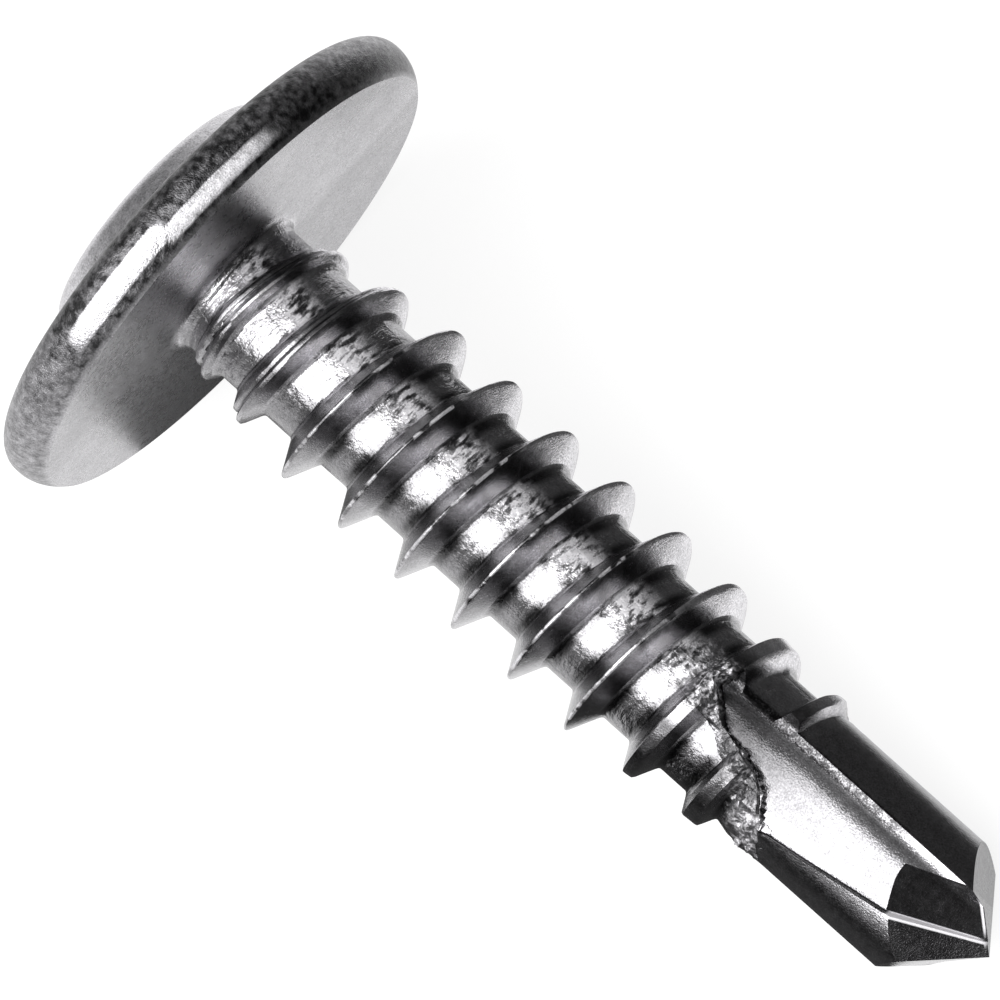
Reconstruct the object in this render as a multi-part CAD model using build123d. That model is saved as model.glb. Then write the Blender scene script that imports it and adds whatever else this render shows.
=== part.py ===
from build123d import *
from build123d.topology import SkipClean
import os
from math import cos, radians, sin, tan

# Self-drilling screw, size 4.2 x 19, with a wafer head, in millimetres.
# It is drawn standing on its head: +Z is the screw's axis, from the head to the tip, and z = 0 is
# the bearing face under the head. Then it is laid down on the rim of its head and the end of its
# drill point, as a dropped screw comes to rest, over the centre of its box and on z = 0.

# Head: (radius, height above the bearing face) of the corners of its outline
BEARING_EDGE = (4.9, 0)
RIM_ROUND_LOW = (5.121, 0.292)
RIM_WIDEST = (5.2, 0.65)
RIM_ROUND_HIGH = (5.068, 0.968)
RIM_TOP_EDGE = (4.75, 1.1)
BUTTON_FOOT = (3.0, 1.29)
BUTTON_EDGE = (2.63, 1.95)
BUTTON_SHOULDER = (2.2, 2.06)
BUTTON_CROWN = (1.1, 2.19)
HEAD_HEIGHT = 2.24
BUTTON_ROUNDING = 0.14
NECK_FILLET = 0.3
CORE_EMBED = 1.5
# The bearing face is parted at the edge of a clearance hole: the outer part seats a sheet or washer
CLEARANCE_DIAMETER = 4.4
SEAT_MARK_DEPTH = 0.03

# Cross recess, size 2
RECESS_SPAN = 4.4
RECESS_DEPTH = 2.1
RECESS_TURN = 20
WING_WIDTH = 1.1
WING_END_TAPER = 26.5
WING_SIDE_TAPER = 3.5
RECESS_CORE_DIAMETER = 2.5
RECESS_CORE_TAPER = 6
RECESS_FLOOR_ANGLE = 28

# Shank and thread. The rolled crest swells from the neck and fades towards the drill point.
LENGTH = 18.68
CORE_DIAMETER = 2.83
THREAD_DIAMETER = 4.1
PITCH = 1.4
RIDGE_FOOT_WIDTH = 0.73
RIDGE_CREST_WIDTH = 0.05
RIDGE_SINK = 0.1
RIDGE_FIRST_Z = -0.4
RIDGE_TURNS = 10.4
RIDGE_PHASE = -90
NECK_CREST_DIAMETER = 3.32
FULL_CREST_START = 3.0
FULL_CREST_END = 10.3
LAST_CREST_DIAMETER = 3.35
LAST_CREST_Z = 13.0
RIDGE_END = 13.7

# Drill point. Angles are measured round the axis from +X, seen from the tip.
POINT_START = 13.6
POINT_CHAMFER = 0.25
POINT_DIAMETER = 3.0
POINT_END_DIAMETER = 2.93
END_FACE_ANGLE = -72.5
END_FACE_HALF_ANGLE = 46.2
END_FACE_TILT = 11.3
# Each flute is shallow: (x, y) points of its back wall, from its edge to below the cutting lip
FLUTE_BACK_WALL = ((1.30, -0.75), (1.38, -0.2), (1.15, 0.45), (0.85, 0.86), (0.56, 1.24))
FLUTE_REACH = 4.0
# The flute starts at a slanting step: (y, z) of its ends
FLUTE_STEP_START = (-0.45, 12.2)
FLUTE_STEP_END = (1.0, 14.1)
# Corners of the rake face under the lip, and of the facets that thin the web and the heel
LIP_START = (1.13, 0.97, 14.9)
LIP_CORNER = (1.33, 0.65, 17.04)
LIP_INNER_END = (0.05, -0.05, 18.62)
WEB_FACET_LOW = (1.40, -0.18, 16.56)
WEB_FACET_HIGH = (1.375, -0.60, 17.66)
WEB_FACET_INNER = (0.05, -0.07, 18.5)
HEEL_FACET_BACK = (0.92, 1.16, 17.58)

# How the screw lies: the slope of its axis, and its turn about that axis
LIE_SLOPE = 12.34
LIE_ROLL = 178.13


def above(corner):
    """Point of the head's outline on the far side of the bearing face from the shank."""
    radius, height = corner
    return (radius, -height)


def at_angle(radius, angle):
    """Point of the cross-section at an angle from +X."""
    return Vector(radius * cos(radians(angle)), radius * sin(radians(angle)))


def head():
    """Wafer head: thin flange with a rounded rim, and a low button that holds the recess."""
    core = CORE_DIAMETER / 2
    with BuildPart() as part:
        with BuildSketch(Plane.XZ):
            with BuildLine():
                Line((0, NECK_FILLET), (core, NECK_FILLET))
                RadiusArc((core, NECK_FILLET), (core + NECK_FILLET, 0), NECK_FILLET)
                Line((core + NECK_FILLET, 0), BEARING_EDGE)
                ThreePointArc(BEARING_EDGE, above(RIM_ROUND_LOW), above(RIM_WIDEST))
                ThreePointArc(above(RIM_WIDEST), above(RIM_ROUND_HIGH), above(RIM_TOP_EDGE))
                FilletPolyline(
                    above(RIM_TOP_EDGE),
                    above(BUTTON_FOOT),
                    above(BUTTON_EDGE),
                    above(BUTTON_SHOULDER),
                    radius=BUTTON_ROUNDING,
                )
                ThreePointArc(above(BUTTON_SHOULDER), above(BUTTON_CROWN), (0, -HEAD_HEIGHT))
                Line((0, -HEAD_HEIGHT), (0, NECK_FILLET))
            make_face()
        revolve(axis=Axis.Z)
    return part.part


def recess():
    """Cross recess for a driver: four tapered wings round a tapered core, with a conical floor."""
    span = RECESS_SPAN / 2
    mouth = Plane.XY.offset(-HEAD_HEIGHT)
    end_shrink = RECESS_DEPTH * tan(radians(WING_END_TAPER))
    side_shrink = RECESS_DEPTH * tan(radians(WING_SIDE_TAPER))
    with BuildPart() as part:
        for turn in (RECESS_TURN, RECESS_TURN + 90):
            with BuildSketch(mouth):
                Rectangle(2 * span, WING_WIDTH, rotation=turn)
            with BuildSketch(mouth.offset(RECESS_DEPTH)):
                Rectangle(2 * (span - end_shrink), WING_WIDTH - 2 * side_shrink, rotation=turn)
            loft()
        with BuildSketch(mouth):
            Circle(RECESS_CORE_DIAMETER / 2)
        extrude(amount=RECESS_DEPTH, taper=RECESS_CORE_TAPER)
        floor_drop = span * tan(radians(RECESS_FLOOR_ANGLE))
        with BuildSketch(Plane.XZ):
            Polygon(
                (0, -HEAD_HEIGHT),
                (span, -HEAD_HEIGHT),
                (span, -HEAD_HEIGHT + RECESS_DEPTH - floor_drop),
                (0, -HEAD_HEIGHT + RECESS_DEPTH),
                align=None,
            )
        revolve(axis=Axis.Z, mode=Mode.INTERSECT)
    return part.part


def core_stock():
    """Core of the thread, from inside the head to the drill point."""
    stock = Cylinder(
        CORE_DIAMETER / 2,
        CORE_EMBED + LENGTH,
        align=(Align.CENTER, Align.CENTER, Align.MIN),
    )
    return Pos(0, 0, -CORE_EMBED) * stock


def thread():
    """Left-hand thread: a helical ridge, trimmed to the envelope of the rolled crest."""
    core_radius = CORE_DIAMETER / 2
    crest = THREAD_DIAMETER / 2
    flank_slope = (RIDGE_FOOT_WIDTH - RIDGE_CREST_WIDTH) / 2 / (crest - core_radius)
    root = core_radius - RIDGE_SINK
    root_half = RIDGE_FOOT_WIDTH / 2 + flank_slope * RIDGE_SINK
    crest_half = RIDGE_CREST_WIDTH / 2
    section_plane = Plane(origin=(0, 0, RIDGE_FIRST_Z), x_dir=(1, 0, 0), z_dir=(0, -1, 0))
    section = section_plane * Polygon(
        (root, -root_half),
        (crest, -crest_half),
        (crest, crest_half),
        (root, root_half),
        align=None,
    )
    start = (0, 0, RIDGE_FIRST_Z)
    path = Helix(PITCH, PITCH * RIDGE_TURNS, root, center=start, lefthand=True)
    ridge = sweep(section, path=path, is_frenet=True)
    clear = crest + 0.02
    with BuildPart() as envelope:
        with BuildSketch(Plane.XZ):
            Polygon(
                (0, -CORE_EMBED),
                (NECK_CREST_DIAMETER / 2, -CORE_EMBED),
                (NECK_CREST_DIAMETER / 2, 0),
                (clear, FULL_CREST_START),
                (clear, FULL_CREST_END),
                (LAST_CREST_DIAMETER / 2, LAST_CREST_Z),
                (core_radius - RIDGE_SINK, RIDGE_END),
                (0, RIDGE_END),
                align=None,
            )
        revolve(axis=Axis.Z)
    turned = ridge.solid() & envelope.part.solid()
    return turned.rotate(Axis.Z, RIDGE_PHASE)


def point_blank():
    """Smooth body of the drill point before its flutes and lips are formed."""
    point = POINT_DIAMETER / 2
    end = POINT_END_DIAMETER / 2
    start = CORE_DIAMETER / 2 - 0.05
    with BuildPart() as part:
        with BuildSketch(Plane.XZ):
            Polygon(
                (0, POINT_START - POINT_CHAMFER),
                (start, POINT_START - POINT_CHAMFER),
                (point, POINT_START),
                (end, LENGTH + 1),
                (0, LENGTH + 1),
                align=None,
            )
        revolve(axis=Axis.Z)
    return part.part


def facet_through(first, second, third, outside):
    """Plane through three points, whose normal points towards a fourth."""
    a, b, c = (Vector(*corner) for corner in (first, second, third))
    normal = (b - a).cross(c - a).normalized()
    if normal.dot(Vector(*outside) - a) < 0:
        normal = -normal
    return Plane(origin=a, z_dir=normal)


def rake_face():
    """Plane of the wall under the cutting lip, facing into the flute."""
    return facet_through(LIP_START, LIP_CORNER, LIP_INNER_END, (0, -FLUTE_REACH, LENGTH))


def flute():
    """Cutter of one flute: a shallow curved back wall that ends against the rake face."""
    step_low_y, step_low_z = FLUTE_STEP_START
    step_high_y, step_high_z = FLUTE_STEP_END
    step = facet_through(
        (0, step_low_y, step_low_z),
        (1, step_low_y, step_low_z),
        (0, step_high_y, step_high_z),
        (0, 0, LENGTH),
    )
    edge = Vector(*FLUTE_BACK_WALL[0])
    foot = Vector(*FLUTE_BACK_WALL[-1])
    with BuildPart() as part:
        with BuildSketch(Plane.XY.offset(POINT_START - FLUTE_REACH)):
            with BuildLine():
                Spline(*FLUTE_BACK_WALL)
                Polyline(
                    foot,
                    (foot.X, FLUTE_REACH),
                    (FLUTE_REACH, FLUTE_REACH),
                    edge * (FLUTE_REACH / edge.X),
                    edge,
                )
            make_face()
        extrude(amount=LENGTH - POINT_START + 2 * FLUTE_REACH)
    cutter = split(part.part, bisect_by=step, keep=Keep.TOP)
    return split(cutter, bisect_by=rake_face(), keep=Keep.TOP)


def end_face():
    """Plane of the end face of the first land."""
    tip = Vector(0, 0, LENGTH)
    lip_out = at_angle(1, END_FACE_ANGLE)
    half_angle = radians(END_FACE_HALF_ANGLE)
    lip = lip_out * sin(half_angle) - Vector(0, 0, cos(half_angle))
    tilt = radians(END_FACE_TILT)
    behind = at_angle(1, END_FACE_ANGLE - 90) * cos(tilt) - Vector(0, 0, sin(tilt))
    return facet_through(tip, tip + lip, tip + behind, (0, 0, LENGTH + 1))


def gash():
    """Cutter that thins the web beside one lip, between the rake face and the web facet."""
    web_facet = facet_through(
        WEB_FACET_LOW,
        WEB_FACET_HIGH,
        WEB_FACET_INNER,
        (FLUTE_REACH, 0, LENGTH),
    )
    cutter = Pos(0, 0, LENGTH) * Box(2 * FLUTE_REACH, 2 * FLUTE_REACH, 2 * FLUTE_REACH)
    cutter = split(cutter, bisect_by=web_facet, keep=Keep.TOP)
    return split(cutter, bisect_by=rake_face(), keep=Keep.TOP)


def part_bearing_face(body):
    """Part the bearing face at the clearance circle, without changing its shape."""
    disc = Pos(0, 0, -SEAT_MARK_DEPTH / 2) * Cylinder(CLEARANCE_DIAMETER / 2, SEAT_MARK_DEPTH)
    with SkipClean():
        return body.cut(disc).fuse(disc)


def screw():
    """The whole screw on its own axis."""
    heel_facet = facet_through(LIP_CORNER, LIP_INNER_END, HEEL_FACET_BACK, (3, 0, LENGTH))
    body = core_stock() + thread()
    body = body + point_blank()
    body = body + head()
    body = body - recess()
    for side in range(2):
        body = body - flute()
        body = split(body, bisect_by=end_face(), keep=Keep.BOTTOM)
        body = split(body, bisect_by=heel_facet, keep=Keep.BOTTOM)
        body = body - gash()
        body = body.rotate(Axis.Z, 180)
    return part_bearing_face(body)


body = screw()
os.makedirs("parts", exist_ok=True)
lying = body.rotate(Axis.Z, LIE_ROLL).rotate(Axis.Y, 90 + LIE_SLOPE)
box = lying.bounding_box()
lying = Pos(-box.center().X, -box.center().Y, -box.min.Z) * lying
export_step(lying, "parts/screw.step")
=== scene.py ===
import math
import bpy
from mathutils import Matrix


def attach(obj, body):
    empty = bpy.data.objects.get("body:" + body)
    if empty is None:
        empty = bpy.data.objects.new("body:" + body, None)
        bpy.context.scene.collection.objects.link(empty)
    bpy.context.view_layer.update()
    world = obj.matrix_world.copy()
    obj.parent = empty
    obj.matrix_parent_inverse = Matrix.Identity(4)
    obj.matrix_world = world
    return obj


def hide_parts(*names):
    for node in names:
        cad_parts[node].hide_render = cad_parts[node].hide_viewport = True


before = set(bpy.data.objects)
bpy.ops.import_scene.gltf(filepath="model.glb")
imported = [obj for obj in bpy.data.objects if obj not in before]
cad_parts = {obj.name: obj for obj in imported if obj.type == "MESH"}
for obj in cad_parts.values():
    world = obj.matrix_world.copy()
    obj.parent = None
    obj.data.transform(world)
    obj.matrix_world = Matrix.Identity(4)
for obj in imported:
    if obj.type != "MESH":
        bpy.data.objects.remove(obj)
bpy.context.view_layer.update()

from types import SimpleNamespace

import bpy
from mathutils import Matrix, Vector, noise


# ---------------------------------------------------------------- shader sockets

class Value:
    """One socket of a material, so that shader maths reads as ordinary maths."""

    def __init__(self, paint, socket):
        self.paint = paint
        self.socket = socket

    def _join(self, operation, first, second):
        return self.paint.node("ShaderNodeMath", {"operation": operation}, {0: first, 1: second})

    def __add__(self, other): return self._join("ADD", self, other)
    def __radd__(self, other): return self._join("ADD", other, self)
    def __sub__(self, other): return self._join("SUBTRACT", self, other)
    def __rsub__(self, other): return self._join("SUBTRACT", other, self)
    def __mul__(self, other): return self._join("MULTIPLY", self, other)
    def __rmul__(self, other): return self._join("MULTIPLY", other, self)
    def __truediv__(self, other): return self._join("DIVIDE", self, other)
    def __pow__(self, other): return self._join("POWER", self, other)
    def least(self, other): return self._join("MINIMUM", self, other)
    def most(self, other): return self._join("MAXIMUM", self, other)


class Paint:
    """A material and its one Principled shader."""

    def __init__(self, name):
        self.material = bpy.data.materials.new(name)
        self.material.use_nodes = True
        self.tree = self.material.node_tree
        self.shader = self.tree.nodes["Principled BSDF"]

    def node(self, kind, settings=None, inputs=None, output=0):
        """Any node: its type, its settings, the values or links of its sockets, and the output wanted."""
        made = self.tree.nodes.new(kind)
        for key, value in (settings or {}).items():
            if key == "stops":
                ramp = made.color_ramp
                while len(ramp.elements) < len(value):
                    ramp.elements.new(0.5)
                for element, (place, colour) in zip(ramp.elements, value):
                    element.position = place
                    element.color = colour
            else:
                setattr(made, key, value)
        for key, value in (inputs or {}).items():
            self._set(made.inputs[key], value)
        return Value(self, made.outputs[output])

    def feed(self, name, value):
        """Give a socket of the shader its value or link."""
        self._set(self.shader.inputs[name], value)

    def _set(self, socket, value):
        if isinstance(value, Value):
            self.tree.links.new(value.socket, socket)
        else:
            socket.default_value = value


def rises(value, low, high):
    """0 below low, 1 above high, straight in between."""
    return ((value - low) / (high - low)).least(1.0).most(0.0)


def falls(value, low, high):
    """1 below low, 0 above high, straight in between."""
    return 1 - rises(value, low, high)


def band(value, rise, fall):
    """1 from the end of the rise to the start of the fall, 0 beyond them."""
    return rises(value, *rise) * falls(value, *fall)


# ---------------------------------------------------------------- sizes, in millimetres
# The screw is modelled standing on its head: z runs from the bearing face to the tip, x is the
# side that lies uppermost, and the last step lays the finished piece down.

MILLIMETRE = 0.001

LENGTH = 18.68
LIE_SLOPE = 12.34
LIE_ROLL = 178.13
BEARING_CENTRE = (-7.88338, 0.0, 4.96087)

# Shank and thread
CORE_RADIUS = 1.415
POINT_RADIUS = 1.495
PITCH = 1.4
FIRST_CREST = -0.75
# The shank starts inside the head, and its stock runs past the tip
SHANK_FOOT = -0.45
STOCK_END = LENGTH + 0.6
# Section of the ridge: half its width at the foot, its slope, and how its corners are blended
FOOT_HALF = 0.365
FOOT_MARGIN = 0.045
FLANK_SLOPE = 0.535
CREST_ROUNDING = 0.035
ROOT_ROUNDING = 0.07
# (z, radius) of the crest line, and of the body under it
CREST_RADIUS = ((-1.0, 1.87), (1.7, 1.87), (3.1, 2.05), (10.3, 2.05), (12.2, 1.81), (13.6, 1.72),
                (14.0, 1.3), (30.0, 1.3))
BODY_RADIUS = ((-1.0, CORE_RADIUS), (13.3, CORE_RADIUS), (13.62, POINT_RADIUS), (30.0, 1.462))
# The rolled crest wavers: (waves along z, waves round the axis, height) of each ripple
CREST_WAVER = ((0.9, 1.0, 0.012), (2.0, 5.0, 0.014))
# The last turn gets thinner: z where that starts, its length and its share
THINNER_FROM, THINNER_OVER, THINNER_BY = 12.9, 0.5, 0.8
# Rows of points over half a pitch, closest together at the crest and at the foot of the ridge
ROW_OFFSETS = (0.0, 0.016, 0.034, 0.056, 0.09, 0.135, 0.185, 0.235, 0.285, 0.325, 0.355, 0.385,
               0.42, 0.47, 0.53, 0.61)
COLUMNS = 96

# The thread starts with a double crest under the head, whose two halves meet at this angle:
# (turns back from there, z) of each half, and (turns back, radius)
START_ANGLE = 90.0
START_CRESTS = (((0.0, 3.1), (1.0, 1.80), (1.5, 1.17), (1.8, 0.80), (2.0, 0.78), (2.4, 0.6)),
                ((0.0, 3.1), (1.0, 1.61), (1.5, 0.97), (1.8, 0.58), (2.0, 0.52), (2.4, 0.4)))
START_RADIUS = ((0.0, 2.05), (0.3, 1.98), (0.5, 1.91), (1.0, 1.85), (1.5, 1.70), (2.0, 1.66), (2.2, 1.6),
                (2.34, 1.41), (2.4, 1.4))
# It is over below this z, its second half is lower, and the full ridge goes on from this turn
START_END = 3.8
SECOND_HALF_DROP = 0.12
MEETING_TURN = 2.75

# Flutes: (y, x) of the back wall, and (y, z) of its ragged start
BACK_WALL = ((-1.9, 3.6), (-1.25, 2.1), (-0.95, 1.55), (-0.82, 1.41), (-0.72, 1.325), (-0.62, 1.302),
             (-0.52, 1.3), (-0.36, 1.335), (-0.23, 1.352), (-0.07, 1.35), (0.1, 1.33), (0.3, 1.275),
             (0.5, 1.21), (0.7, 1.143), (0.9, 1.07), (1.1, 0.95), (1.5, 0.6))
FLUTE_START = ((-2.0, 12.5), (-0.9, 12.05), (-0.44, 11.85), (-0.17, 12.15), (0.1, 12.5), (0.2, 13.1),
               (0.4, 13.55), (0.55, 13.8), (1.0, 14.1), (1.6, 14.4))
# Unevenness of that start, as (waves along y, offset, height), and height of the wall's ripples
START_RIPPLES = ((3.1, 7.0, 0.16), (9.0, 2.0, 0.07))
WALL_RIPPLE = 0.012
# Over this length at its start, the wall comes down from this far outside
RUN_OUT = 0.22
RUN_OUT_LIFT = 1.1
# The cutter's sides along y, its outer face along x, and its rows as (first z, step, count)
FLUTE_SIDES = (-1.9, 1.5)
FLUTE_OUTSIDE = 6.0
FLUTE_COLUMNS = 68
FINE_ROWS = (11.2, 0.07, 50)
COARSE_ROWS = (14.7, 0.5, 11)

# Torn metal where the flutes break into the thread: its height, its place and spread along z
# before the flute's start, the z it lies between, and (x, y) below which it fades by a slope
TEAR_HEIGHT = 0.2
TEAR_SETBACK = 0.3
TEAR_SPREAD = 0.45
TEAR_REACH = (11.0, 14.6)
TEAR_SIDE = (0.3, -0.75)
TEAR_FADE = 3
# Its unevenness, as (waves for each millimetre, share)
TEAR_RIPPLES = ((4.2, 0.6), (9.0, 0.4))

# Drill point: three points of the rake face under the lip and of the heel facet, and place and
# normal of the facets that thin the web and of the end face
RAKE = ((1.13, 0.97, 14.9), (1.33, 0.65, 17.04), (0.1, -0.2, 18.55))
HEEL = ((1.33, 0.65, 17.04), (0.05, -0.05, 18.62), (0.92, 1.16, 17.58))
WEB_FACET = ((0.05, -0.07, 18.5), (0.82, -0.021, 0.572))
WEB_SHOULDER = ((1.33, -0.22, 16.54), (0.05, 0.925, 0.372))
WEB_WALL = ((1.0, -0.66, 17.6), (0.1, 0.99, 0.0))
END_FACE = ((0, 0, LENGTH), (0.0695, -0.6965, 0.7142))
# Points in the open side of the flute and outside the heel, which those planes face
IN_FLUTE = (0, -4, LENGTH)
OUTSIDE_HEEL = (3, 0, LENGTH)
# How far the cutters stay clear of the rake face, or pass it, so that no two faces coincide
CLEAR_OF_RAKE = 0.004
PAST_RAKE = 0.002
CUTTER_BLOCK = 6

# Head: (radius, z) of the corners of its outline
NECK_TOP = 0.5
FILLET_TOP = (CORE_RADIUS - 0.02, 0.34)
FILLET_MIDDLE = (CORE_RADIUS + 0.075, 0.1)
FILLET_FOOT = (CORE_RADIUS + 0.33, 0.0)
BEARING_EDGE = (4.9, 0.0)
RIM_LOW = (5.117, -0.292)
RIM_WIDEST = (5.19, -0.65)
RIM_HIGH = (5.064, -0.968)
RIM_TOP = (4.75, -1.1)
FLANGE_END = (3.2, -1.266)
BUTTON_FOOT = (3.0, -1.29)
BUTTON_EDGE = (2.63, -1.95)
BUTTON_SHOULDER = (2.2, -2.06)
CROWN = (1.1, -2.19)
CROWN_MIDDLE = (0.56, -2.227)
TOP = -2.24
FOOT_ROUNDING = 0.12
EDGE_ROUNDING = 0.16
HEAD_STEPS = 160

# Cross recess, size 2: its depth and its turn about the axis
RECESS_DEPTH = 2.1
RECESS_TURN = 20
# (length, width) of each wing at its mouth and at its floor, and how far its cutter stands out
WING_MOUTH = (4.65, 1.13)
WING_FLOOR = (2.3, 0.86)
WING_ROUNDING = 0.13
WING_OVERSHOOT = 0.5
# Radii of its round core at the mouth and at the floor
RECESS_CORE = (1.27, 1.03)
CORE_OVERSHOOT = 0.3
# Slope of its conical floor, and the radius of the cone's mouth, which is wider than the cross
FLOOR_ANGLE = 28
FLOOR_CONE = 4.0

# Points closer than this are one point: within a piece, and after the head is joined on
MERGE_GAP = 0.0005
JOIN_GAP = 0.0008
SMOOTH_ANGLE = 34


def read_table(table, place):
    """Straight-line reading of a table of (place, value)."""
    for (a, low), (b, high) in zip(table, table[1:]):
        if place <= b:
            share = max(0.0, (place - a) / (b - a))
            return low + (high - low) * share
    return table[-1][1]


def read_smooth(table, place):
    """Smooth reading of a table of (place, value), level with its neighbours at each entry."""
    last = len(table) - 1
    for i in range(last):
        if place <= table[i + 1][0]:
            break
    (a, low), (b, high) = table[i], table[i + 1]
    share = min(1.0, max(0.0, (place - a) / (b - a)))
    before = table[max(0, i - 1)]
    after = table[min(last, i + 2)]
    tilt_low = (high - before[1]) / (b - before[0]) * (b - a)
    tilt_high = (after[1] - low) / (after[0] - a) * (b - a)
    s2, s3 = share ** 2, share ** 3
    return (low * (2 * s3 - 3 * s2 + 1) + tilt_low * (s3 - 2 * s2 + share)
            + high * (3 * s2 - 2 * s3) + tilt_high * (s3 - s2))


def ripple(x, y, z):
    """Smooth unevenness, from about -1 to 1."""
    return noise.noise(Vector((x, y, z)))


def soft_least(a, b, width):
    """Lesser of two values, blended over a width so that the corner is rounded."""
    mix = max(0.0, width - abs(a - b)) / width
    return min(a, b) - mix * mix * width / 4


def ridge(distance, crest, body, foot=FOOT_HALF):
    """Radius of a thread ridge at a distance from its crest line."""
    flank = body + (foot - abs(distance)) / FLANK_SLOPE
    top = soft_least(crest, flank, CREST_ROUNDING)
    return -soft_least(-top, -body, ROOT_ROUNDING)


def start_radius(degrees, z, body, waver):
    """Radius of the low double crest that starts the thread under the head."""
    radius = body
    for turn in range(3):
        back = (degrees - START_ANGLE) / 360 + turn
        if not 0 <= back <= START_RADIUS[-1][0]:
            continue
        for half, crests in enumerate(START_CRESTS):
            height = read_table(START_RADIUS, back) + waver - half * SECOND_HALF_DROP * min(1.0, back)
            if height > body:
                foot = min(FOOT_HALF, (height - body) * FLANK_SLOPE + FOOT_MARGIN)
                radius = max(radius, ridge(z - read_table(crests, back), height, body, foot))
    return radius


def shank_radius(angle, z):
    """Radius of the threaded shank and of the drill point's blank."""
    body = read_table(BODY_RADIUS, z)
    crest = read_table(CREST_RADIUS, z)
    if crest < body:
        return body
    waver = sum(ripple(z * along, around * math.sin(angle), around * math.cos(angle)) * height
                for along, around, height in CREST_WAVER)
    degrees = math.degrees(angle)
    radius = start_radius(degrees, z, body, waver) if z < START_END else body
    turns = (z - FIRST_CREST) / PITCH + degrees / 360
    distance = (turns - round(turns)) * PITCH
    if round(turns) - degrees / 360 >= MEETING_TURN:
        thinner = 1 + THINNER_BY * min(1.0, max(0.0, (z - distance - THINNER_FROM) / THINNER_OVER))
        radius = max(radius, ridge(distance * thinner, crest + waver, body))
    return radius


def flute_wall(y, z):
    """How far out the back wall of the flute lies; before its start it is clear of the thread."""
    start = read_table(FLUTE_START, y)
    start += sum(height * ripple(y * waves, offset, 0.0) for waves, offset, height in START_RIPPLES)
    share = min(1.0, max(0.0, (z - start) / RUN_OUT + 0.5))
    lift = 1.0 - share * share * (3 - 2 * share)
    return read_smooth(BACK_WALL, y) + WALL_RIPPLE * ripple(y * 2.5, z * 0.8, 3.0) + lift * RUN_OUT_LIFT


# ---------------------------------------------------------------- ways of working

def pick(piece):
    """Make a piece the active and only selected one."""
    bpy.ops.object.select_all(action="DESELECT")
    piece.select_set(True)
    bpy.context.view_layer.objects.active = piece


def start_piece(name, points, faces):
    """A new piece from its points and faces."""
    mesh = bpy.data.meshes.new(name)
    mesh.from_pydata(points, [], faces)
    piece = bpy.data.objects.new(name, mesh)
    bpy.context.collection.objects.link(piece)
    pick(piece)
    return piece


def merge_points(piece, gap=MERGE_GAP):
    """Merge doubled points and turn all faces outwards."""
    pick(piece)
    bpy.ops.object.mode_set(mode="EDIT")
    bpy.ops.mesh.select_all(action="SELECT")
    bpy.ops.mesh.remove_doubles(threshold=gap)
    bpy.ops.mesh.normals_make_consistent(inside=False)
    bpy.ops.object.mode_set(mode="OBJECT")


def trim(piece, place, normal):
    """Cut away the side that the normal points to, and close the cut."""
    pick(piece)
    bpy.ops.object.mode_set(mode="EDIT")
    bpy.ops.mesh.select_all(action="SELECT")
    bpy.ops.mesh.bisect(plane_co=place, plane_no=normal, use_fill=True, clear_outer=True)
    bpy.ops.object.mode_set(mode="OBJECT")


def join_shape(piece, other, operation):
    """Unite a piece with another, or cut the other out of it, and remove the other."""
    step = piece.modifiers.new("shape", "BOOLEAN")
    step.operation = operation
    step.solver = "EXACT"
    step.object = other
    pick(piece)
    bpy.ops.object.modifier_apply(modifier=step.name)
    bpy.data.objects.remove(other)


def turn_round(piece, angle):
    """Turn a piece about the screw's axis, in its mesh."""
    piece.data.transform(Matrix.Rotation(math.radians(angle), 4, "Z"))


def plane_through(first, second, third, outside):
    """Place and normal of the plane through three points, facing a fourth."""
    a, b, c = Vector(first), Vector(second), Vector(third)
    normal = (b - a).cross(c - a).normalized()
    if normal.dot(Vector(outside) - a) < 0:
        normal = -normal
    return a, normal


def rake_plane():
    """Plane of the wall under the cutting lip, facing into the flute."""
    return plane_through(*RAKE, IN_FLUTE)


def opposite(side):
    """The same plane, facing the other way."""
    place, normal = side
    return place, tuple(-part for part in normal)


def set_back(side, gap):
    """The same plane, moved against its normal."""
    place, normal = side
    return tuple(Vector(place) - Vector(normal).normalized() * gap), normal


def straight(first, last, steps):
    """Points along a straight line, without its first one."""
    (ax, ay), (bx, by) = first, last
    return [(ax + (bx - ax) * k / steps, ay + (by - ay) * k / steps) for k in range(1, steps + 1)]


def arc_through(first, middle, last, steps):
    """Points of the arc through three points, without its first one."""
    (ax, ay), (bx, by), (cx, cy) = first, middle, last
    d = 2 * (ax * (by - cy) + bx * (cy - ay) + cx * (ay - by))
    ux = ((ax**2 + ay**2) * (by - cy) + (bx**2 + by**2) * (cy - ay) + (cx**2 + cy**2) * (ay - by)) / d
    uy = ((ax**2 + ay**2) * (cx - bx) + (bx**2 + by**2) * (ax - cx) + (cx**2 + cy**2) * (bx - ax)) / d
    radius = math.hypot(ax - ux, ay - uy)
    start = math.atan2(ay - uy, ax - ux)
    sweep = (math.atan2(cy - uy, cx - ux) - start + math.pi) % (2 * math.pi) - math.pi
    return [(ux + radius * math.cos(start + sweep * k / steps),
             uy + radius * math.sin(start + sweep * k / steps)) for k in range(1, steps + 1)]


def round_corner(before, corner, after, reach, steps=5):
    """Points that round a corner, starting and ending a reach away from it."""
    corner = Vector(corner)
    first = corner + (Vector(before) - corner).normalized() * reach
    last = corner + (Vector(after) - corner).normalized() * reach
    points = []
    for k in range(steps + 1):
        share = k / steps
        points.append(tuple(first * (1 - share)**2 + corner * 2 * share * (1 - share) + last * share**2))
    return points


# ---------------------------------------------------------------- shank, thread and drill point

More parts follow.
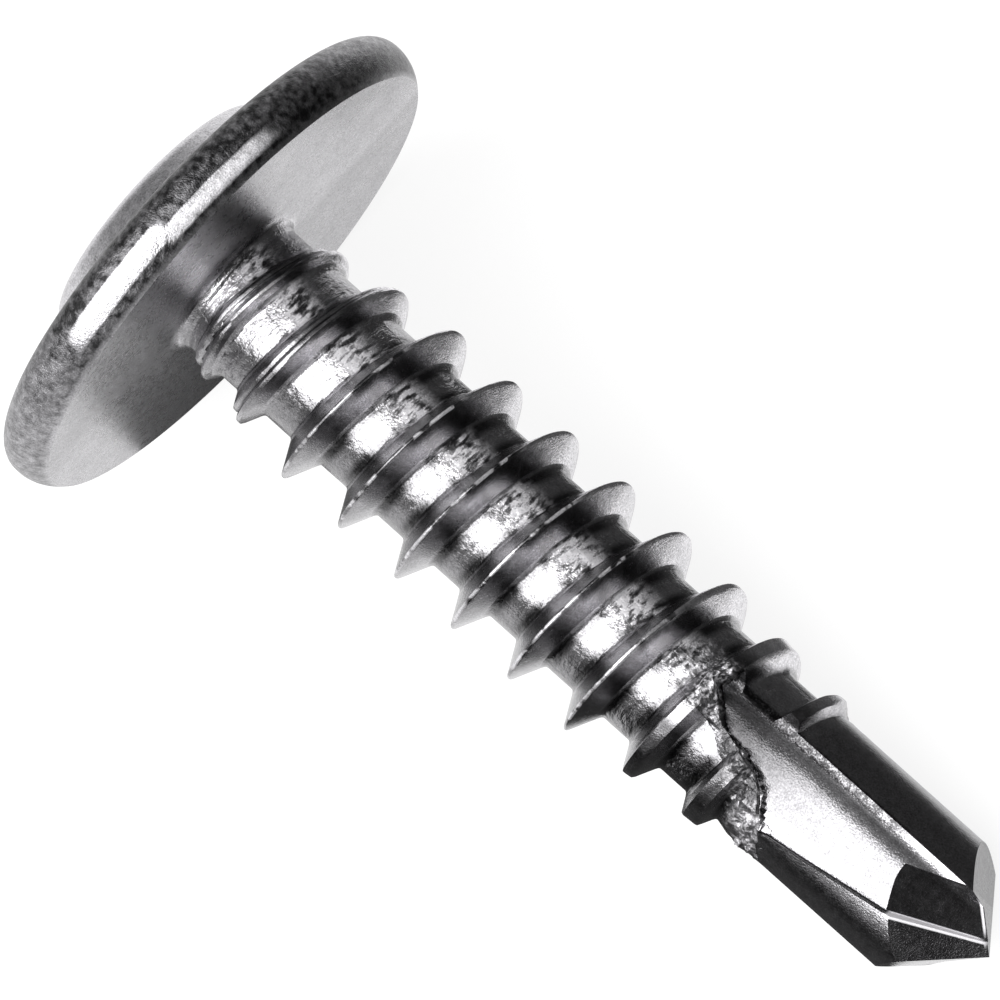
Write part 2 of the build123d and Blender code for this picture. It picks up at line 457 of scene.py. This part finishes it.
def threaded_shank():
    """Core, thread and blank of the drill point: one sheet whose rows follow the thread."""
    offsets = sorted([-offset for offset in ROW_OFFSETS[1:]] + list(ROW_OFFSETS) + [PITCH / 2])
    rows = len(offsets)
    turns = math.ceil((STOCK_END - FIRST_CREST) / PITCH) + 2
    points = []
    for turn in range(turns):
        for offset in offsets:
            for column in range(COLUMNS):
                angle = 2 * math.pi * column / COLUMNS
                z = FIRST_CREST + PITCH * (turn - column / COLUMNS) + offset
                radius = shank_radius(angle, z)
                points.append((radius * math.cos(angle), radius * math.sin(angle), z))
    faces = []
    for row in range(turns * rows - 1):
        for a in range(row * COLUMNS, (row + 1) * COLUMNS - 1):
            faces.append((a, a + 1, a + COLUMNS + 1, a + COLUMNS))
        if row >= rows:
            # the last column joins the first one a turn lower, because the rows climb
            a = (row + 1) * COLUMNS - 1
            b = (row - rows) * COLUMNS
            faces.append((a, b, b + COLUMNS, a + COLUMNS))
    shank = start_piece("shank", points, faces)
    trim(shank, (0, 0, SHANK_FOOT), (0, 0, -1))
    trim(shank, (0, 0, STOCK_END), (0, 0, 1))
    merge_points(shank)
    return shank


def flute_cutter():
    """Solid that leaves the back wall of one flute, as far as the rake face under the lip."""
    low, high = FLUTE_SIDES
    ys = [low + (high - low) * k / FLUTE_COLUMNS for k in range(FLUTE_COLUMNS + 1)]
    zs = [first + step * k for first, step, count in (FINE_ROWS, COARSE_ROWS) for k in range(count)]
    across, along = len(ys), len(zs)
    inner = [(flute_wall(y, z), y, z) for z in zs for y in ys]
    outer = [(FLUTE_OUTSIDE, y, z) for z in zs for y in ys]
    count = across * along
    faces = []
    for j in range(along - 1):
        for i in range(across - 1):
            a = j * across + i
            faces.append((a, a + 1, a + across + 1, a + across))
            faces.append((count + a, count + a + across, count + a + across + 1, count + a + 1))
    first_row = list(range(across))
    last_row = [(along - 1) * across + i for i in range(across - 2, -1, -1)]
    far_side = [j * across + across - 1 for j in range(1, along)]
    near_side = [j * across for j in range(along - 2, 0, -1)]
    edge = first_row + far_side + last_row + near_side
    for a, b in zip(edge, edge[1:] + edge[:1]):
        faces.append((a, count + a, count + b, b))
    cutter = start_piece("flute cutter", inner + outer, faces)
    merge_points(cutter)
    place, normal = rake_plane()
    trim(cutter, place, -normal)
    merge_points(cutter)
    return cutter


def block_cutter(name, sides):
    """Block beside the tip, cut down to the side of each plane that its normal points to."""
    bpy.ops.object.select_all(action="DESELECT")
    bpy.ops.mesh.primitive_cube_add(size=CUTTER_BLOCK, location=(0, 0, LENGTH))
    block = bpy.context.object
    block.name = name
    bpy.ops.object.transform_apply(location=True)
    for place, normal in sides:
        trim(block, place, -Vector(normal))
    merge_points(block)
    return block


def form_drill_point(shank):
    """Flutes, thinned web, heel facets and end faces, on both sides of the axis."""
    rake = rake_plane()
    heel_sides = [plane_through(*HEEL, OUTSIDE_HEEL), set_back(opposite(rake), -PAST_RAKE)]
    web_sides = [WEB_FACET, WEB_SHOULDER, WEB_WALL, set_back(rake, CLEAR_OF_RAKE)]
    for side in range(2):
        join_shape(shank, flute_cutter(), "DIFFERENCE")
        trim(shank, *END_FACE)
        join_shape(shank, block_cutter("heel cutter", heel_sides), "DIFFERENCE")
        join_shape(shank, block_cutter("web cutter", web_sides), "DIFFERENCE")
        turn_round(shank, 180)
    merge_points(shank)


def roughen_start(piece):
    """Torn, flaky metal where the flutes break into the last turns of the thread."""
    low, high = FLUTE_SIDES
    side_x, side_y = TEAR_SIDE
    for vertex in piece.data.vertices:
        x, y, z = vertex.co
        if not TEAR_REACH[0] < z < TEAR_REACH[1]:
            continue
        if x < 0:
            x, y = -x, -y
        start = read_table(FLUTE_START, max(low, min(high, y)))
        near = math.exp(-((z - start + TEAR_SETBACK) / TEAR_SPREAD) ** 2)
        near *= min(1.0, max(0.0, 1 - max(side_y - y, side_x - x) * TEAR_FADE))
        rough = sum(noise.noise(vertex.co * waves) * share for waves, share in TEAR_RIPPLES)
        outward = Vector((vertex.co.x, vertex.co.y, 0)).normalized()
        vertex.co += outward * (TEAR_HEIGHT * near * rough)


# ---------------------------------------------------------------- head

def head_outline():
    """(radius, z) points from the neck round the flange and its rim to the top of the button."""
    outline = [(0.0, NECK_TOP), (FILLET_TOP[0], NECK_TOP), FILLET_TOP]
    outline += arc_through(FILLET_TOP, FILLET_MIDDLE, FILLET_FOOT, 8)
    outline += straight(FILLET_FOOT, BEARING_EDGE, 14)
    outline += arc_through(BEARING_EDGE, RIM_LOW, RIM_WIDEST, 9)
    outline += arc_through(RIM_WIDEST, RIM_HIGH, RIM_TOP, 9)
    outline += straight(RIM_TOP, FLANGE_END, 8)
    outline += round_corner(RIM_TOP, BUTTON_FOOT, BUTTON_EDGE, FOOT_ROUNDING)
    outline += round_corner(BUTTON_FOOT, BUTTON_EDGE, BUTTON_SHOULDER, EDGE_ROUNDING, 6)
    outline += round_corner(BUTTON_EDGE, BUTTON_SHOULDER, CROWN, FOOT_ROUNDING)
    outline += arc_through(CROWN, CROWN_MIDDLE, (0.0, TOP), 6)
    return outline


def head():
    """Thin flange with a rounded rim, and the low button with the cross recess."""
    outline = head_outline()
    count = len(outline)
    points = []
    faces = []
    for k in range(HEAD_STEPS):
        angle = 2 * math.pi * k / HEAD_STEPS
        points += [(r * math.cos(angle), r * math.sin(angle), z) for r, z in outline]
        a, b = k * count, (k + 1) % HEAD_STEPS * count
        faces += [(a + i, b + i, b + i + 1, a + i + 1) for i in range(count - 1)]
    piece = start_piece("head", points, faces)
    merge_points(piece)
    join_shape(piece, recess_cutter(), "DIFFERENCE")
    return piece


def recess_wing(angle):
    """One bar of the cross: a tapered block with rounded edges."""
    middle = TOP + (RECESS_DEPTH - WING_OVERSHOOT) / 2
    bpy.ops.object.select_all(action="DESELECT")
    bpy.ops.mesh.primitive_cube_add(size=1, location=(0, 0, middle))
    wing = bpy.context.object
    wing.scale = (*WING_MOUTH, RECESS_DEPTH + WING_OVERSHOOT)
    bpy.ops.object.transform_apply(location=True, scale=True)
    for vertex in wing.data.vertices:
        if vertex.co.z > middle:
            vertex.co.x *= WING_FLOOR[0] / WING_MOUTH[0]
            vertex.co.y *= WING_FLOOR[1] / WING_MOUTH[1]
    step = wing.modifiers.new("rounding", "BEVEL")
    step.width = WING_ROUNDING
    step.segments = 3
    step.angle_limit = math.radians(40)
    pick(wing)
    bpy.ops.object.modifier_apply(modifier=step.name)
    turn_round(wing, angle)
    return wing


def cone(sides, first, last, depth, middle):
    """Cone or tapered round bar on the screw's axis."""
    bpy.ops.object.select_all(action="DESELECT")
    bpy.ops.mesh.primitive_cone_add(vertices=sides, radius1=first, radius2=last, depth=depth,
                                    location=(0, 0, middle))
    made = bpy.context.object
    bpy.ops.object.transform_apply(location=True)
    return made


def recess_cutter():
    """Cross recess: four tapered wings round a tapered core, over a conical floor."""
    cutter = recess_wing(RECESS_TURN)
    join_shape(cutter, recess_wing(RECESS_TURN + 90), "UNION")
    wide, narrow = RECESS_CORE
    core = cone(64, wide, narrow, RECESS_DEPTH + CORE_OVERSHOOT, TOP + (RECESS_DEPTH - CORE_OVERSHOOT) / 2)
    join_shape(cutter, core, "UNION")
    rise = FLOOR_CONE * math.tan(math.radians(FLOOR_ANGLE))
    join_shape(cutter, cone(96, FLOOR_CONE, 0.0, rise, TOP + RECESS_DEPTH - rise / 2), "INTERSECT")
    merge_points(cutter)
    return cutter


def lying_turn(size):
    """Turn from the screw's own axes to how it lies on the floor, as a square matrix."""
    return (Matrix.Rotation(math.radians(90 + LIE_SLOPE), size, "Y")
            @ Matrix.Rotation(math.radians(LIE_ROLL), size, "Z"))


def lay_down(piece):
    """Lay the finished piece on the floor, in metres, with nothing below it."""
    place = Matrix.Translation(Vector(BEARING_CENTRE) * MILLIMETRE)
    piece.data.transform(place @ Matrix.Scale(MILLIMETRE, 4) @ lying_turn(4))
    for vertex in piece.data.vertices:
        vertex.co.z = max(vertex.co.z, 0.0)


# ---------------------------------------------------------------- finish

# Textures of the plating: (features per metre, detail) of each
GRAIN = (30000.0, 2.0)
FLAKES = (10000.0, 3.0)
SPECKLE = (7000.0, 3.0)
DASHES = (3300.0, 2.0)
MOTTLE = (2300.0, 4.0)
# this noise rags the edges of the painted highlight strips on the rim
WEAR = (1700.0, 3.0)
BLOTCH = (700.0, 3.0)
# Rolling marks run round the shank, in its bumps and in the bright streaks of its painted streaked
# reflection: (features per millimetre, detail), and how far they are drawn out
STREAK = (7.5, 3.0)
ROLLED = (11.0, 4.0)
DRAWN_OUT = 0.35

# Painted highlight strips on the rim, standing in for its glints: (z, half width, and the slopes at their
# ends along y)
UPPER_STRIP = (-0.30, 0.17, (-2.6, -1.9), (-0.1, 0.3))
LOWER_STRIP = (-0.44, 0.21, (0.05, 0.35), (2.3, 2.8))

BUMP_DEPTH = 0.00003


def read_surface(paint):
    """Coordinates on the screw's own axes, in millimetres, and the textures of its plating."""
    here = SimpleNamespace()
    coordinates = paint.node("ShaderNodeTexCoord", output="Object")
    bearing = tuple(part * MILLIMETRE for part in BEARING_CENTRE)
    from_bearing = paint.node("ShaderNodeVectorMath", {"operation": "SUBTRACT"},
                              {0: coordinates, 1: bearing})
    here.x, here.y, here.z = (
        paint.node("ShaderNodeVectorMath", {"operation": "DOT_PRODUCT"},
                   {0: from_bearing, 1: tuple(axis / MILLIMETRE)}, output="Value")
        for axis in lying_turn(3).col)
    here.radius = (here.x * here.x + here.y * here.y) ** 0.5

    def cloud(texture, place=coordinates):
        size, detail = texture
        return paint.node("ShaderNodeTexNoise", {}, {"Vector": place, "Scale": size, "Detail": detail})

    here.grain, here.speckle, here.mottle = cloud(GRAIN), cloud(SPECKLE), cloud(MOTTLE)
    here.wear, here.blotch = cloud(WEAR), cloud(BLOTCH)
    here.flakes, here.dashes = cloud(FLAKES), cloud(DASHES)
    rolled = paint.node("ShaderNodeCombineXYZ", {},
                        {"X": here.x * DRAWN_OUT, "Y": here.y * DRAWN_OUT, "Z": here.z})
    here.streak, here.rolled = cloud(STREAK, rolled), cloud(ROLLED, rolled)

    def reading(table, value):
        """Straight-line reading of a table of (place, value) by a colour ramp."""
        low, high = table[0][0], table[-1][0]
        top = max(level for place, level in table)
        stops = [((place - low) / (high - low), (level / top,) * 3 + (1,)) for place, level in table]
        share = (value - low) / (high - low)
        return paint.node("ShaderNodeValToRGB", {"stops": stops}, {"Fac": share}) * top

    here.crest_radius = reading(CREST_RADIUS[1:6], here.z)
    here.behind_start = here.z - reading(FLUTE_START, here.y)
    swing = paint.node("ShaderNodeMath", {"operation": "ARCTAN2"}, {0: here.y, 1: here.x}) / (2 * math.pi)
    here.turn_share = paint.node("ShaderNodeMath", {"operation": "FRACT"},
                              {0: (here.z - FIRST_CREST) / PITCH + swing})
    place, normal = rake_plane()
    here.from_lip = place.dot(normal) - (here.x * normal[0] + here.y * normal[1] + here.z * normal[2])
    normal = Vector(END_FACE[1]).normalized()
    here.from_end = LENGTH * normal[2] - (here.x * normal[0] + here.y * normal[1] + here.z * normal[2])
    return here


def find_head(at, here):
    """Places on the head: its rim, button and underside, and the painted highlight strips on the rim."""
    at.head = falls(here.z, -0.02, 0.06)
    at.rim = rises(here.radius, 4.7, 4.85) * band(here.z, (-1.16, -1.08), (-0.1, 0.0))
    # near part of the rim, which gets a further painted dark reflection
    at.near_rim = at.rim * rises(here.x, 0.6, 2.4) * band(here.y, (-4.6, -3.4), (2.7, 4.2))
    at.button = at.head * falls(here.radius, 3.3, 3.6) * falls(here.z, -1.3, -1.2)
    at.underside = rises(here.z, -0.1, -0.02) * rises(here.radius, 1.8, 2.2)
    tear = (here.wear - 0.5) * 0.5

    def strip(middle, half_width, rise, fall):
        return (1 - ((here.z - middle) / half_width) ** 2.0 + tear).most(0.0) * band(here.y, rise, fall)

    # painted highlight strips on the near side of the rim: smoother, and the upper one partly matt, so that
    # they glint
    upper, lower = strip(*UPPER_STRIP), strip(*LOWER_STRIP)
    near = rises(here.x, 0.0, 1.0) * at.rim
    at.upper_strip = upper * near
    at.worn = (upper.most(lower) * near * 2.5).least(1.0)


def find_thread(at, here):
    """Places on the thread: its core, flanks, crests and roots, and the band of its near side that gets a
    painted streaked reflection.
    """
    at.near = rises(here.x, 0.1, 0.9)
    at.front = at.near * rises(here.y, -1.35, -1.05)
    at.thread = (1 - at.point) * (1 - at.head)
    at.core = at.thread * (1 - at.flute) * falls(here.radius, CORE_RADIUS + 0.03, CORE_RADIUS + 0.12)
    flank = at.thread * rises(here.radius, CORE_RADIUS + 0.05, CORE_RADIUS + 0.14)
    at.near_flank = flank * at.front
    at.far_flank = flank * falls(here.y, -1.35, -1.05) * rises(here.x, -1.0, -0.6)
    on_crest = rises(here.radius, here.crest_radius - 0.034, here.crest_radius - 0.014)
    # near crests, which get a painted dark reflection with painted glints in dashes along them
    at.crest = at.front * on_crest * band(here.z, (2.6, 3.4), (10.2, 10.8))
    at.dash = rises(here.dashes, 0.43, 0.52) * at.crest
    at.lit = band(here.y, (0.0, 0.2), (0.55, 0.75))
    # patches of the near flanks that get painted highlights
    at.patch = band(here.turn_share, (0.05, 0.12), (0.26, 0.36)) * band(here.y, (-0.75, -0.4), (-0.1, 0.25))
    off_root = band(here.turn_share, (0.32, 0.42), (0.58, 0.68))
    # roots on the near side, which get painted shade
    at.root = at.core * at.near * (1 - off_root) * rises(here.z, 2.6, 3.4)
    # band of the near core that gets a painted streaked reflection: dark, with bright streaks from the
    # rolling-mark noise
    at.skin = at.core * at.near * band(here.y, (-0.95, -0.6), (-0.25, 0.05))
    at.rolled_mark = rises(here.rolled * 0.6 + here.mottle * 0.4, 0.42, 0.53)


def find_flute(at, here):
    """Places on the drill point: its flutes, the torn metal where they start, the places that get painted
    shade, and the thin edges that get painted highlights.
    """
    near = rises(here.x, 0.2, 0.5)
    at.point = rises(here.z, 13.3, 14.2)
    at.flute = at.point.most(rises(here.behind_start, 0.0, 0.1)) * near
    # places of the drill point that get painted shade: the opening, the band by the flute's edge, the
    # groove, the rake wall and the end face
    at.opening = at.flute * falls(here.z, 12.8, 15.2) * band(here.y, (-0.9, -0.6), (0.1, 0.9))
    at.fold = at.flute * band(here.y, (-0.76, -0.72), (-0.54, -0.5)) * falls(here.z, 16.0, 16.6)
    at.groove = at.flute * band(here.y, (-0.5, -0.44), (-0.36, -0.24)) * rises(here.z, 13.0, 15.5)
    behind = here.behind_start + (here.blotch - 0.5) * 1.2
    at.torn = band(behind, (-0.85, -0.4), (0.02, 0.14)) * near * rises(here.y, -1.0, -0.8)
    # lobe of the torn metal, which gets painted shade
    at.lobe = at.torn * rises(here.y, -0.05, 0.2)
    at.flake = rises(here.flakes * 0.6 + here.mottle * 0.4, 0.5, 0.58)
    # painted highlights on thin edges: along the cutting lip and down the end of the thinned web
    lip = band(here.from_lip, (-0.02, 0.0), (0.035, 0.06)) * rises(here.z, 16.9, 17.0)
    web = band(here.from_end, (0.012, 0.02), (0.045, 0.07))
    web = web * rises(here.y, -0.64, -0.6) * rises(here.z, 17.5, 17.6)
    at.edges = (lip + web).least(1.0) * rises(here.x, 0.1, 0.2) * falls(here.y, 0.7, 0.75)
    wall = at.flute * band(here.from_lip, (-0.014, -0.01), (0.01, 0.014)) * rises(here.z, 13.8, 14.0)
    at.rake_wall = wall * (1 - lip)
    at.end_face = rises(here.z, 17.0, 17.1) * falls(here.from_end, 0.004, 0.012)


def head_tone(bright, at, here):
    """Painted dark reflection on the rim, spotted by the plating's speckle and darker on its near part; a
    painted lighter reflection on the button and a little painted light on the underside.
    """
    # painted dark reflection on the rim, deeper on its near part
    bright = bright - at.rim * (0.12 - (here.speckle - 0.5) * 0.5) - at.near_rim * 0.2
    # painted light on the underside and a painted lighter reflection on the button
    return bright + at.underside * 0.02 + at.button * 0.16


def thread_tone(bright, at, here):
    """Painted dark reflection on the near flanks with a lighter lit band, painted highlights on their
    patches and on the far flanks, painted shade in the roots and on the core past y 0.6, and a painted
    streaked reflection on the near core.
    """
    # painted dark reflection on the near flanks, lighter on their lit band, their patches and their far
    # side
    shade = 0.72 - rises(here.mottle, 0.5, 0.62) * 0.2
    shade = shade * (1 - at.patch) * (1 - rises(here.y, 0.8, 1.5) * 0.5) * (1 - at.lit * 0.7)
    bright = bright * (1 - at.near_flank * shade)
    # painted highlights on the near flanks' patches and on the far flanks
    bright = bright * (1 + at.near_flank * at.patch * 1.8 + at.far_flank * 0.9)
    # painted shade in the roots, lighter on the lit band
    bright = bright * (1 - at.root * (0.85 - at.lit * 0.45))
    # painted streaked reflection on the near core
    bright = bright * (1 - at.skin) + at.skin * (0.14 + at.rolled_mark * 0.86)
    # painted shade on the core past y 0.6
    return bright * (1 - at.core * rises(here.y, 0.6, 0.75) * 0.45)


def flute_tone(bright, at, here):
    """Painted dark reflection on the land, painted soft shade on the back wall, painted shade on the
    opening and the end face, a speckled painted shade by the flute's edge, painted shade in the groove and
    a painted dark reflection on the rake wall.
    """
    # painted dark reflection on the land
    bright = bright * (1 - at.point * falls(here.y, -0.72, -0.68) * 0.4)
    # painted soft shade on the back wall of the flute
    bright = bright * (1 - at.flute * band(here.y, (-0.38, -0.26), (0.55, 0.9)) * 0.33)
    # painted shade on the opening and end face, and a painted dark reflection on the rake wall
    bright = bright * (1 - at.opening * 0.74) * (1 - at.end_face * 0.5) * (1 - at.rake_wall * 0.9)
    speckled = rises(here.grain * 0.5 + here.speckle * 0.5, 0.46, 0.6)
    # speckled painted shade by the flute's edge, and painted shade in the groove
    return bright * (1 - at.fold * (0.8 - speckled * 0.5)) * (1 - at.groove * 0.45)


def worn_tone(bright, at, here):
    """Painted highlight strips on the rim and painted dark crests with painted glints, and the torn metal:
    its tone painted dark, darker on its lobe and lighter past y 0.75, with painted glints on its flakes.
    """
    # painted highlight strips on the rim
    bright = bright + at.worn * 0.65
    # painted dark reflection on the near crests, and painted glints in dashes along them
    bright = bright * (1 - at.crest * 0.4) + at.dash * 0.4
    # torn metal: real torn shape and bumps, its tone painted dark with painted glints on its flakes,
    # painted shade on its lobe, lighter past y 0.75
    torn = 0.22 - at.lobe * 0.1 + rises(here.y, 0.75, 0.95) * 0.25 + at.flake * (0.62 - at.lobe * 0.35)
    return bright * (1 - at.torn) + at.torn * torn


def zinc():
    """Bright zinc plating: frosted grain all over, polished drill point, dull rim, with painted shade,
    painted highlights and painted reflections laid into its tone.
    """
    paint = Paint("bright zinc")
    here = read_surface(paint)
    at = SimpleNamespace()
    find_flute(at, here)
    find_head(at, here)
    find_thread(at, here)

    bright = 0.42 + (here.mottle - 0.5) * (0.16 * at.thread + 0.1 * at.head + 0.05)
    for part_tone in (head_tone, thread_tone, flute_tone, worn_tone):
        bright = part_tone(bright, at, here)
    bright = bright * (1 + (here.grain - 0.5) * 1.5 + (here.speckle - 0.5) * 0.6)
    # painted highlights on the thin edges
    bright = (bright + at.edges).most(0.03).least(1.0)
    tone = {"Red": bright, "Green": bright * 0.985, "Blue": bright * 1.02}
    paint.feed("Base Color", paint.node("ShaderNodeCombineColor", {}, tone))

    rough = 0.24 + (here.speckle - 0.5) * 0.16 + (here.blotch - 0.5) * 0.1 - at.point * 0.02
    rough = rough + at.rim * 0.16 + at.head * (1 - at.rim) * 0.06
    paint.feed("Roughness", (rough - at.worn * 0.1 + at.torn * 0.2 + at.edges * 0.5).most(0.08))

    # painted highlights: the thin edges, the flakes of the torn metal, the crest dashes, the upper rim
    # strip and the streaks of the streaked band are made partly matt, so they scatter light like a pale
    # matt surface
    scatter = (at.edges * 0.85).most(at.torn * at.flake * 0.5).most(at.dash * 0.5)
    scatter = scatter.most(at.upper_strip * 0.9).most(at.skin * at.rolled_mark * 0.35)
    paint.feed("Metallic", 1 - scatter.least(0.9))

    height = here.grain * (0.2 + at.rim * 0.4) + here.streak * (0.9 * at.core + 0.15 * at.thread)
    height = height + here.speckle * (0.35 * at.core + 0.12 * at.head + 0.06 + at.torn * 2.5)
    height = height + here.mottle * (1.3 * at.core + 0.1 + at.torn * 1.5)
    bump = {"Strength": 1.0, "Distance": BUMP_DEPTH, "Height": height}
    paint.feed("Normal", paint.node("ShaderNodeBump", {}, bump))
    return paint.material


body = threaded_shank()
form_drill_point(body)
join_shape(body, head(), "UNION")
roughen_start(body)
merge_points(body, JOIN_GAP)
pick(body)
bpy.ops.object.shade_smooth_by_angle(angle=math.radians(SMOOTH_ANGLE))
lay_down(body)
body.name = "screw_body"
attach(body, "root")
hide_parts("screw")
body.data.materials.clear()
body.data.materials.append(zinc())


# ---------------------------------------------------------------- floor, light and camera

FLOOR_SIZE = 3.0
FLOOR_TONE = 0.22
FLOOR_GLOW = 0.84
WORLD_TONE = 0.42

# Studio cards that only the metal's reflections show: their corners in millimetres, and their tone
CARDS = (
    ("far flag", [(-9, 8.5, 0.2), (20, 8.5, 0.2), (20, 9, 12.5), (-9, 9, 16.5)], 0.07),
    ("far flag foot", [(-6.2, 3.2, 0.1), (20, 3.1, 0.1), (20, 9, 0.1), (-6.2, 9, 0.1)], 0.07),
    ("end flag", [(30, 24, -1), (30, -10, -1), (30, -10, 44), (30, 24, 44)], 0.07),
    ("head flag", [(-38, 24, 22), (-38, -24, 22), (-38, -24, 60), (-38, 24, 60)], 0.07),
    ("contact shade", [(-10.5, -3.8, 0.1), (-6.2, -3.5, 0.1), (-5.8, 0.1, 0.1), (-10.5, 0.1, 0.1)], 0.13),
    ("point flag", [(1, -9, 0.1), (15, -9, 0.1), (15, -1.2, 0.1), (2, -1.6, 0.1)], 0.04),
    ("point flag wall", [(0.5, -9, 0.1), (12, -9, 0.1), (12, -9.5, 4.7), (0.5, -9.5, 4.2)], 0.04),
    ("near strip", [(-30, -60, 26), (40, -60, 26), (40, -60, 33), (-30, -60, 33)], 0.02),
)

KEY_TOWARD = (0.05, -0.462, 0.887)
KEY_DISTANCE = 0.12
KEY_SIZE = (0.16, 0.139)
KEY_POWER = 0.27
OBJECT_MIDDLE = (0, 0, 0.004)

CAMERA_PLACE = (0.12076891, 0.0098748, 0.27788769)
CAMERA_TURN = (15.174, 18.9699, 44.3236)
CAMERA_LENS = 596.7
CAMERA_SENSOR = 36


def matt(name, tone):
    """Plain matt paint of one grey."""
    paint = Paint(name)
    paint.feed("Base Color", (tone, tone, tone, 1))
    paint.feed("Roughness", 1.0)
    paint.feed("Specular IOR Level", 0.0)
    return paint


def flat_square(name, size):
    """Square sheet at the origin."""
    bpy.ops.object.select_all(action="DESELECT")
    bpy.ops.mesh.primitive_plane_add(size=size)
    made = bpy.context.object
    made.name = name
    return made


def card(name, corners, tone):
    """Matt studio card through four corners, seen only by what the metal reflects."""
    made = flat_square(name, 1)
    for index, corner in zip((0, 1, 3, 2), corners):
        made.data.vertices[index].co = Vector(corner) * MILLIMETRE
    made.data.materials.append(matt(name, tone).material)
    made.visible_camera = False
    made.visible_diffuse = False
    made.visible_shadow = False
    made.visible_transmission = False


def pale_floor():
    """Matt floor that shows white, and keeps the screw's soft shadow."""
    paint = matt("pale floor", FLOOR_TONE)
    camera_ray, glossy_ray, clear_ray = (
        paint.node("ShaderNodeLightPath", output=ray)
        for ray in ("Is Camera Ray", "Is Glossy Ray", "Is Transmission Ray"))
    paint.feed("Emission Color", (1, 1, 1, 1))
    paint.feed("Emission Strength", (camera_ray + glossy_ray + clear_ray).least(1.0) * FLOOR_GLOW)
    flat_square("floor", FLOOR_SIZE).data.materials.append(paint.material)


def soft_light():
    """Rectangular soft box that faces the middle of the object."""
    data = bpy.data.lights.new("key", "AREA")
    data.shape = "RECTANGLE"
    data.size, data.size_y = KEY_SIZE
    data.energy = KEY_POWER
    lamp = bpy.data.objects.new("key", data)
    bpy.context.collection.objects.link(lamp)
    toward = Vector(KEY_TOWARD).normalized()
    lamp.location = toward * KEY_DISTANCE + Vector(OBJECT_MIDDLE)
    lamp.rotation_euler = (-toward).to_track_quat("-Z", "Y").to_euler()


def plain_world():
    """Level grey light from all round."""
    world = bpy.data.worlds.new("studio")
    bpy.context.scene.world = world
    world.use_nodes = True
    background = world.node_tree.nodes["Background"]
    background.inputs["Color"].default_value = (WORLD_TONE, WORLD_TONE, WORLD_TONE, 1)
    background.inputs["Strength"].default_value = 1.0


def add_camera():
    """Camera that looks down on the screw from above its drill point."""
    data = bpy.data.cameras.new("camera")
    data.lens = CAMERA_LENS
    data.sensor_width = CAMERA_SENSOR
    data.clip_start = 0.01
    data.clip_end = 10
    camera = bpy.data.objects.new("camera", data)
    bpy.context.collection.objects.link(camera)
    camera.location = CAMERA_PLACE
    camera.rotation_euler = [math.radians(angle) for angle in CAMERA_TURN]
    bpy.context.scene.camera = camera


pale_floor()
for studio_card in CARDS:
    card(*studio_card)
soft_light()
plain_world()
add_camera()
bpy.context.scene.view_settings.view_transform = "Standard"
